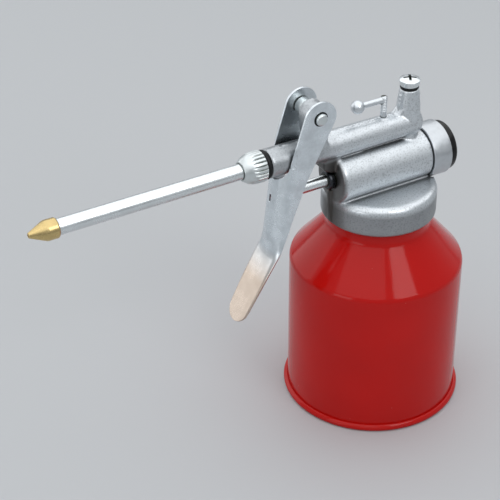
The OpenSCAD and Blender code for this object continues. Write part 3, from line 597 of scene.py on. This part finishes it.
class OILCAN_OT_casting(Piece, bpy.types.Operator):
    """Die-cast head: screw cap, pump cylinder, barrel, tower, ribs and lug in one softened casting"""
    bl_idname = "oilcan.casting"
    bl_label = "Head casting"

    def execute(self, context):
        s = context.scene.oil_can_sizes
        bm = softened("head_casting", s.cast_grid, rounds=3)
        # The two halves of the die leave a knobbly ridge up the tower, and a fainter one along the barrel.
        # The tower's faces lie 3.4 to 7 mm out from its middle, and the barrel starts 6 mm in front of it
        face, flank, barrel = 3.4 * MM, 7 * MM, -6 * MM
        # Its knobs are 1.3 mm apart and vary about 0.7 of the full height
        knob, mean, faint = 1.3 * MM, 0.7, 0.4
        middle = centre("valve_screw_washer").x
        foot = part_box("nozzle_nut")[1].z - 1 * MM
        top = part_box("valve_screw_washer")[0].z - 0.6 * MM
        for v in bm.verts:
            out = v.co.x - middle
            ridge = s.flash * (mean + noise.noise(v.co / knob)) * max(0, 1 - abs(v.co.y) / s.flash_width)
            if face < abs(out) < flank and foot < v.co.z < top:
                v.co.x += math.copysign(ridge, out)
            elif out < barrel and foot - 1.2 * MM < v.co.z:
                v.co.z += faint * ridge
        place("cast_head", bm, "head", "die_cast_alloy", ["head_casting"], smooth=80)
        return {"FINISHED"}


class OILCAN_OT_lever(Piece, bpy.types.Operator):
    """Pressed lever with its broken edges and the crown of its web"""
    bl_idname = "oilcan.lever"
    bl_label = "Lever"

    def execute(self, context):
        s = context.scene.oil_can_sizes
        bm = crisp("lever", s.join, s.sheet_edge)
        # Rows 2 mm apart and ten columns cut the web between its folds, so that it can bend.
        # Faces that the web runs into count too, unless they face sideways
        row, rows, half, sideways = 2 * MM, 24, 5, 0.01
        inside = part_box("lever")[1].y - 1.9 * MM
        cuts = [((0, 0, s.crown_end + i * row), (0, 0, 1)) for i in range(rows)]
        cuts += [((0, i * inside / half, 0), (0, 1, 0)) for i in range(-half, half + 1)]
        for spot, way in cuts:
            web = [f for f in bm.faces
                   if abs(f.normal.y) < sideways or all(abs(v.co.y) < inside + NEAR for v in f.verts)]
            edges = {e for f in web for e in f.edges}
            verts = {v for e in edges for v in e.verts}
            bmesh.ops.bisect_plane(bm, geom=[*verts, *edges, *web], plane_co=spot, plane_no=way)
        bmesh.ops.triangulate(bm, faces=[f for f in bm.faces if len(f.verts) > 4])
        # Pressing crowns the web; over 12 mm the crown dies away into the flat blade.
        # The power makes it run out softly beside the folds
        fade, power = 12 * MM, 1.5
        for v in bm.verts:
            across = max(0, 1 - (v.co.y / inside) ** 2) ** power
            above = min(1, max(0, (v.co.z - s.crown_end) / fade))
            v.co.x -= s.crown * across * above
        piece = place("pressed_lever", bm, "lever", "pressed_steel", ["lever"], smooth=24)
        # Large flat faces keep their own normal, so that they reflect as flat sheet
        even = piece.modifiers.new("even_normals", "WEIGHTED_NORMAL")
        even.keep_sharp = True
        return {"FINISHED"}


class OILCAN_OT_pin(Piece, bpy.types.Operator):
    """Headed pin through the lever's ears, and the sleeve on it"""
    bl_idname = "oilcan.pin"
    bl_label = "Pivot pin"

    def execute(self, context):
        low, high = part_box("pivot_pin")
        middle = centre("pivot_pin")
        head = high.x - middle.x
        end = high.y - low.y
        shank = 2.4 * MM
        # The far end is rounded over 0.9 mm, and the head is a low dome 1.2 mm high
        nose, under = 0.9 * MM, end - 1.2 * MM
        bm = bmesh.new()
        spun(bm, [
            (0, 0, 0), (shank - 0.1 * MM, 0, nose), (shank, nose, 0.1 * MM), (shank, under, 0),
            (head, under, 0.2 * MM), (head, end - 0.5 * MM, 0.3 * MM), (head - 1.1 * MM, end, 0.6 * MM),
            (0, end, 0)], along((0, 1, 0), (middle.x, low.y, middle.z)), 64)
        place("headed_pin", bm, "head", "zinc_plate", ["pivot_pin"])
        low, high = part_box("pivot_spacer")
        middle = centre("pivot_spacer")
        out = high.x - middle.x
        end = high.y - low.y
        hole = shank + 0.05 * MM
        edge = 0.3 * MM
        bm = bmesh.new()
        spun(bm, [(hole, 0, 0), (out, 0, edge), (out, end, edge), (hole, end, 0), (hole, 0, 0)],
             along((0, 1, 0), (middle.x, low.y, middle.z)), 64)
        place("pin_sleeve", bm, "head", "zinc_plate", ["pivot_spacer"])
        return {"FINISHED"}


class OILCAN_OT_spout(Piece, bpy.types.Operator):
    """Spout tube, brass tip and black ring"""
    bl_idname = "oilcan.spout"
    bl_label = "Spout"

    def execute(self, context):
        low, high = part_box("nozzle_tube")
        axis = centre("nozzle_tube").z
        r = high.y
        end = high.x - low.x
        bore = r - 1.05 * MM
        bm = bmesh.new()
        spun(bm, [(bore, 0, 0), (r, 0, 0), (r, end, 0), (bore, end, 0), (bore, 0, 0)],
             along((1, 0, 0), (low.x, 0, axis)), 96)
        place("spout_tube", bm, "head", "nickel_plate", ["nozzle_tube"], smooth=40)
        low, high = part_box("nozzle_tip")
        out = high.y
        end = high.x - low.x
        # The jet and the socket for the tube are each 3 mm deep; the cone is 6.1 mm long
        jet, deep, cone = 0.45 * MM, 3 * MM, 6.1 * MM
        socket = r + 0.06 * MM
        bm = bmesh.new()
        spun(bm, [
            (0, deep, 0), (jet, deep, 0), (jet, 0, 0.1 * MM), (jet + 0.5 * MM, 0, 0.25 * MM),
            (out - 0.15 * MM, cone, 0.5 * MM), (out, cone + 0.7 * MM, 0.4 * MM),
            (out, end - 0.5 * MM, 0.2 * MM), (out - 0.35 * MM, end, 0.15 * MM),
            (socket, end, 0), (socket, end - deep, 0), (0, end - deep, 0)],
            along((1, 0, 0), (low.x, 0, axis)), 96)
        place("brass_tip", bm, "head", "brass", ["nozzle_tip"])
        low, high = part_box("nozzle_ring")
        out = high.y
        thick = high.x - low.x
        inner = out - 1.3 * MM
        bulge = 0.475 * thick
        bm = bmesh.new()
        spun(bm, [(inner, 0, 0), (out, 0, bulge), (out, thick, bulge), (inner, thick, 0), (inner, 0, 0)],
             along((1, 0, 0), (low.x, 0, axis)), 96)
        place("rubber_ring", bm, "head", "black_rubber", ["nozzle_ring"], smooth=50)
        return {"FINISHED"}


class OILCAN_OT_nut(Piece, bpy.types.Operator):
    """Union nut with a rounded nose, and flutes that run out over it"""
    bl_idname = "oilcan.nut"
    bl_label = "Union nut"

    def execute(self, context):
        s = context.scene.oil_can_sizes
        low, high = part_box("nozzle_nut")
        out = high.y
        end = high.x - low.x
        play = 0.1 * MM
        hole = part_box("nozzle_tube")[1].y + play
        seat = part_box("ferrule")[0].x - low.x - play
        bore = out - 1.6 * MM
        # The nose swells from the hole over 5.2 mm to the nut's full width
        bm = bmesh.new()
        spun(bm, [
            (hole, 0, 0), (out - 2.3 * MM, 0, 0.4 * MM), (out - 0.5 * MM, 2.4 * MM, 5.5 * MM),
            (out, 5.2 * MM, 11 * MM), (out, end - 0.3 * MM, 0.2 * MM), (out - 0.4 * MM, end, 0.2 * MM),
            (bore, end, 0), (bore, seat, 0), (hole, seat, 0), (hole, 0, 0)], steps=8 * s.flutes)
        root = out - s.flute_deep
        # The flutes' flanks are 2.2 times as steep as a plain wave, which leaves flat crests.
        # Where a flute runs out, it fades into the nose over about 0.12 mm instead of ending in a step
        steep, soft = 2.2, 0.12 * MM
        for v in bm.verts:
            r = math.hypot(v.co.x, v.co.y)
            # The bore and the seat stay round
            if r > bore + 0.05 * MM:
                wave = 0.5 - 0.5 * math.cos(s.flutes * math.atan2(v.co.y, v.co.x))
                limit = root + (out - root) * min(1, steep * wave)
                over = max(0, r - limit)
                depth = over ** 2 / (over + soft)
                v.co.x *= 1 - depth / r
                v.co.y *= 1 - depth / r
        bmesh.ops.transform(bm, matrix=along((1, 0, 0), (low.x, 0, centre("nozzle_nut").z)), verts=bm.verts)
        place("fluted_nut", bm, "head", "zinc_plate", ["nozzle_nut"])
        return {"FINISHED"}


class OILCAN_OT_pump(Piece, bpy.types.Operator):
    """Piston rod with its gland ring"""
    bl_idname = "oilcan.pump"
    bl_label = "Pump"

    def execute(self, context):
        low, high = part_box("piston_rod")
        axis = centre("piston_rod").z
        r = high.y
        end = high.x - low.x
        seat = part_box("piston")[0].x - low.x
        # The round tip reaches forward after the crown that pressing gives the lever's web
        reach = 0.8 * context.scene.oil_can_sizes.crown
        tip, tail = 2.2 * MM, 1.8 * MM
        bm = bmesh.new()
        spun(bm, [
            (0, -reach, 0), (r - 0.05 * MM, -reach, 1.9 * MM), (r, tip, 0.1 * MM), (r, seat, 0),
            (tail, seat, 0), (tail, end, 0.3 * MM), (0, end, 0)], along((1, 0, 0), (low.x, 0, axis)), 64)
        place("plated_rod", bm, "rod", "nickel_plate", ["piston_rod"])
        low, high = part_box("gland_nut")
        out = high.y
        end = high.x - low.x
        hole = r + 0.1 * MM
        # The collar is 2.7 mm long, and the part inside the casting is 0.45 mm thinner
        collar, root = 2.7 * MM, out - 0.45 * MM
        bm = bmesh.new()
        spun(bm, [
            (hole, 0, 0), (out - 0.1 * MM, 0, 0.8 * MM), (out, 1.2 * MM, 0.3 * MM), (out, collar, 0),
            (root, collar, 0), (root, end, 0), (hole, end, 0), (hole, 0, 0)],
            along((1, 0, 0), (low.x, 0, axis)), 64)
        place("gland_ring", bm, "head", "blackened_steel", ["gland_nut"])
        return {"FINISHED"}


class OILCAN_OT_end(Piece, bpy.types.Operator):
    """Turned cap behind the cylinder, its black seal and plug, and the spring that stands on it"""
    bl_idname = "oilcan.end"
    bl_label = "End cap"

    def execute(self, context):
        low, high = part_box("end_cap")
        axis = centre("piston_rod").z
        seal_low, seal_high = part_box("end_seal")
        # The cap covers 0.45 mm of the seal's width, which leaves a thin black line
        covered = 0.45 * MM
        out = high.y
        end = high.x - low.x
        front = seal_high.x - low.x - covered
        # The spigot, hollowed 3 mm deep, fits the cylinder; the plug's stem sits in a hole 4 mm deep
        spigot, wall, floor = 7.95 * MM, 6.8 * MM, 3 * MM
        stem, hole, deep = 4 * MM, 4.05 * MM, 4 * MM
        bm = bmesh.new()
        spun(bm, [
            (0, floor, 0), (wall, floor, 0), (wall, 0, 0), (spigot, 0, 0.3 * MM), (spigot, front, 0),
            (out - 0.2 * MM, front, 0.3 * MM), (out, end, 0.4 * MM), (hole, end, 0), (hole, end - deep, 0),
            (0, end - deep, 0)], along((1, 0, 0), (low.x, 0, axis)), 128)
        place("turned_end_cap", bm, "head", "turned_alloy", ["end_cap"])
        out = seal_high.y
        thick = seal_high.x - seal_low.x - covered
        inner = spigot + 0.05 * MM
        bulge = 0.2 * thick
        bm = bmesh.new()
        spun(bm, [(inner, 0, 0), (out, 0, bulge), (out, thick, bulge), (inner, thick, 0), (inner, 0, 0)],
             along((1, 0, 0), (seal_low.x, 0, axis)), 128)
        place("cap_seal", bm, "head", "black_rubber", ["end_seal"], smooth=50)
        low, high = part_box("end_plug")
        out = high.y
        end = high.x - low.x
        # The plug's head is 3.5 mm thick, with a rounded border round a hollow 0.8 mm deep
        under, border, hollow = end - 3.5 * MM, out - 3.2 * MM, end - 0.8 * MM
        bm = bmesh.new()
        spun(bm, [
            (0, 0, 0), (stem, 0, 0.3 * MM), (stem, under, 0), (out, under, 0.2 * MM),
            (out - 0.15 * MM, end, 1.5 * MM), (border, end, 0.4 * MM), (border - 0.6 * MM, hollow, 0.4 * MM),
            (0, hollow, 0)], along((1, 0, 0), (low.x, 0, axis)), 128)
        place("black_plug", bm, "head", "black_plastic", ["end_plug"])
        # In the can the spring's front end goes back with the piston and its rear end stays on the cap; here
        # the spring is left where it stands, on no body
        low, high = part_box("return_spring")
        place("coil_spring", joined("return_spring"), ("rod", "head"), "spring_steel", ["return_spring"],
              smooth=40, between=((low.x, 0, axis), (high.x, 0, axis)))
        return {"FINISHED"}


class OILCAN_OT_valve(Piece, bpy.types.Operator):
    """Valve screw with its cross recess, the black washer under it, and the valve's spring"""
    bl_idname = "oilcan.valve"
    bl_label = "Valve screw"

    def execute(self, context):
        low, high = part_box("valve_screw_washer")
        x = centre("valve_screw_washer").x
        seat = high.z
        out = high.y
        thick = high.z - low.z
        inner = 2.5 * MM
        bulge = 0.45 * thick
        bm = bmesh.new()
        spun(bm, [(inner, 0, 0), (out, 0, bulge), (out, thick, bulge), (inner, thick, 0), (inner, 0, 0)],
             Matrix.Translation((x, 0, low.z)), 64)
        place("screw_washer", bm, "head", "black_rubber", ["valve_screw_washer"], smooth=50)
        low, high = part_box("valve_screw")
        out, top = high.y, high.z
        shank = 2.3 * MM
        # The head's flat dome falls 0.3 mm over its first 60 percent and 1 mm to its edge
        bm = bmesh.new()
        spun(bm, [
            (0, low.z, 0), (shank, low.z, 0.2 * MM), (shank, seat, 0), (out - 0.5 * MM, seat, 0.2 * MM),
            (out, top - 1.0 * MM, 0.3 * MM), (0.6 * out, top - 0.3 * MM, 2.2 * MM), (0, top, 0)],
            Matrix.Translation((x, 0, 0)), 96)
        # Cross recess, 1 mm wide, 5 mm across and 1.7 mm deep
        wide, across, deep = 1 * MM, 5 * MM, 1.7 * MM
        for turn in (60, 150):
            arm = bmesh.new()
            shape = Matrix.Rotation(math.radians(turn), 4, "Z") @ Matrix.Diagonal((across, wide, 2 * deep, 1))
            bmesh.ops.create_cube(arm, size=1, matrix=Matrix.Translation((x, 0, top)) @ shape)
            bm = cut(bm, arm)
        place("cross_screw", bm, "head", "nickel_plate", ["valve_screw"], smooth=35)
        # In the can the spring's foot rises with the ball and its upper end stays under the screw; here the
        # spring is left where it stands, on no body
        low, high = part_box("outlet_spring")
        place("valve_spring", joined("outlet_spring"), ("outlet_ball", "head"), "spring_steel",
              ["outlet_spring"], smooth=40, between=((x, 0, low.z), (x, 0, high.z)))
        return {"FINISHED"}


class OILCAN_OT_vent(Piece, bpy.types.Operator):
    """Bent vent handle with its ball end"""
    bl_idname = "oilcan.vent"
    bl_label = "Vent handle"

    def execute(self, context):
        rod = context.scene.oil_can_sizes.vent_rod
        low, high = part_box("vent_handle")
        ball = high.y
        ball_x, top, x = low.x + ball, high.z - ball, high.x - rod
        # The rod goes up, turns square in a mitred corner, and runs along -X to an end inside the ball
        end = ball_x + 0.6 * ball
        bm = bmesh.new()
        start = bmesh.ops.create_circle(bm, cap_ends=True, segments=48, radius=rod,
                                        matrix=Matrix.Translation((x, 0, low.z)))["verts"]
        for corner in (True, False):
            face = [f for f in bm.faces if all(v in start for v in f.verts)]
            grown = bmesh.ops.extrude_face_region(bm, geom=face)["geom"]
            start = [g for g in grown if isinstance(g, bmesh.types.BMVert)]
            for v in start:
                if corner:
                    v.co.z = top + v.co.x - x
                else:
                    v.co.x = end
        mitre = {v for v in bm.verts if abs(v.co.z - top - v.co.x + x) < SAME}
        bmesh.ops.bevel(bm, geom=[e for e in bm.edges if mitre.issuperset(e.verts)], offset=0.3 * MM,
                        offset_type="OFFSET", segments=4, profile=0.5, affect="EDGES", material=-1)
        # Screw thread on the spindle: nine rings 0.7 mm apart, from about 5 mm up
        pitch, first = 0.7 * MM, 5 * MM
        root, crest = 0.94 * rod, 1.14 * rod
        rings = []
        for i in range(9):
            z = low.z + (i + 0.2) * pitch + first
            rings += [(root, z, 0), (crest, z + 0.25 * MM, 0), (root, z + 0.5 * MM, 0)]
        spun(bm, rings, Matrix.Translation((x, 0, 0)), 48)
        turn = Matrix.Translation((ball_x, 0, top)) @ Matrix.Rotation(math.pi / 2, 4, "Y")
        bmesh.ops.create_uvsphere(bm, u_segments=64, v_segments=32, radius=ball, matrix=turn)
        place("bent_vent_handle", bm, "vent", "polished_steel", ["vent_handle"], smooth=40)
        return {"FINISHED"}


class OILCAN_OT_inner(Piece, bpy.types.Operator):
    """Finishes for the CAD pieces that keep their shape"""
    bl_idname = "oilcan.inner"
    bl_label = "Inner pieces"

    def execute(self, context):
        slots = {entry["node"]: entry["material_slot"] for entry in frame["record"]["subparts"]}
        for name, item in frame["nodes"].items():
            item.data.materials.clear()
            item.data.materials.append(finish(slots.get(name, "zinc_plate")))
        return {"FINISHED"}


class OILCAN_OT_stage(Piece, bpy.types.Operator):
    """Pale floor, soft studio lamps and the camera"""
    bl_idname = "oilcan.stage"
    bl_label = "Stage"

    def execute(self, context):
        scene = context.scene
        scene.view_settings.view_transform = "Standard"
        self.floor(scene)
        self.surroundings(scene)
        self.lamps(scene)
        self.camera(scene)
        return {"FINISHED"}

    def floor(self, scene):
        """A matt pale floor, 12 m across"""
        half = 6
        bm = bmesh.new()
        bmesh.ops.create_grid(bm, x_segments=1, y_segments=1, size=half)
        mesh = bpy.data.meshes.new("floor")
        bm.to_mesh(mesh)
        bm.free()
        floor = bpy.data.objects.new("floor", mesh)
        scene.collection.objects.link(floor)
        material, tree, shader, spot = begin("pale_floor", Roughness=0.6)
        shader.inputs["Base Color"].default_value = shade(scene.oil_can_colours.floor)
        mesh.materials.append(material)

    def surroundings(self, scene):
        """A dim sky lights the object; the camera, mirrors and glass see the floor's tone past its edge"""
        world = bpy.data.worlds.new("studio")
        world.use_nodes = True
        tree = world.node_tree
        sky = tree.nodes["Background"]
        sky.inputs["Color"].default_value = shade(scene.oil_can_colours.sky)
        sky.inputs["Strength"].default_value = 0.25
        far = add(tree, "ShaderNodeBackground", {"Color": shade(scene.oil_can_colours.floor)})
        path = add(tree, "ShaderNodeLightPath")
        seen = path.outputs["Is Camera Ray"]
        for ray in ("Is Glossy Ray", "Is Transmission Ray"):
            either = add(tree, "ShaderNodeMath", {0: seen, 1: path.outputs[ray]}, operation="MAXIMUM")
            seen = either.outputs[0]
        both = add(tree, "ShaderNodeMixShader", {0: seen, 1: sky.outputs[0], 2: far.outputs[0]})
        tree.links.new(both.outputs[0], tree.nodes["World Output"].inputs["Surface"])
        scene.world = world

    def lamps(self, scene):
        """Soft lamps, all aimed at the middle of the object"""
        target = Vector((-0.02, 0, 0.09))
        # Name, place, width and height in metres, and watts
        for name, spot, width, height, power in (
                ("key_lamp", (0.1, -0.64, 0.6), 0.36, 0.36, 1.2),
                ("window_lamp", (-0.73, -0.51, 0.92), 1.25, 0.6, 2.0),
                ("side_lamp", (-1.15, -0.35, 0.22), 0.5, 0.5, 1.3),
                ("top_lamp", (0.15, 0.15, 1.0), 2.2, 2.2, 15.0),
                ("back_lamp", (-0.55, 0.85, 0.3), 0.8, 0.8, 1.9)):
            lamp = bpy.data.lights.new(name, "AREA")
            lamp.shape = "RECTANGLE"
            lamp.size = width
            lamp.size_y = height
            lamp.energy = power
            holder = bpy.data.objects.new(name, lamp)
            holder.location = spot
            holder.rotation_euler = (target - Vector(spot)).to_track_quat("-Z", "Y").to_euler()
            scene.collection.objects.link(holder)

    def camera(self, scene):
        """A long lens in front of the spout's side, looking down on the can"""
        spot = (-0.310836, -0.431022, 0.416924)
        heading, down, roll = (math.radians(angle) for angle in (59.699, 33.623, -0.208))
        level = math.pi / 2
        camera = bpy.data.objects.new("camera", bpy.data.cameras.new("camera"))
        camera.data.lens = 113.06
        camera.data.sensor_width = 36
        camera.matrix_world = (Matrix.Translation(spot) @ Matrix.Rotation(heading - level, 4, "Z")
                               @ Matrix.Rotation(level - down, 4, "X") @ Matrix.Rotation(roll, 4, "Z"))
        scene.collection.objects.link(camera)
        scene.camera = camera


OPERATORS = (
    OILCAN_OT_bottle, OILCAN_OT_casting, OILCAN_OT_lever, OILCAN_OT_pin, OILCAN_OT_spout, OILCAN_OT_nut,
    OILCAN_OT_pump, OILCAN_OT_end, OILCAN_OT_valve, OILCAN_OT_vent, OILCAN_OT_inner, OILCAN_OT_stage)


class OILCAN_PT_panel(bpy.types.Panel):
    """Lists the oil can's pieces in the sidebar"""
    bl_idname = "OILCAN_PT_panel"
    bl_label = "Oil can"
    bl_space_type = "VIEW_3D"
    bl_region_type = "UI"
    bl_category = "Oil can"

    def draw(self, context):
        for group in (context.scene.oil_can_sizes, context.scene.oil_can_colours):
            for name in group.__annotations__:
                self.layout.prop(group, name)
        for piece in OPERATORS:
            self.layout.operator(piece.bl_idname)


CLASSES = (OilCanSizes, OilCanColours, *OPERATORS, OILCAN_PT_panel)


def register():
    """Add the sizes, colours, operators and panel to Blender."""
    for item in CLASSES:
        bpy.utils.register_class(item)
    bpy.types.Scene.oil_can_sizes = PointerProperty(type=OilCanSizes)
    bpy.types.Scene.oil_can_colours = PointerProperty(type=OilCanColours)


def unregister():
    """Take them out again."""
    del bpy.types.Scene.oil_can_colours
    del bpy.types.Scene.oil_can_sizes
    for item in reversed(CLASSES):
        bpy.utils.unregister_class(item)


def main():
    """Make every piece and the stage."""
    register()
    for piece in OPERATORS:
        family, name = piece.bl_idname.split(".")
        getattr(getattr(bpy.ops, family), name)()


if __name__ == "__main__":
    main()
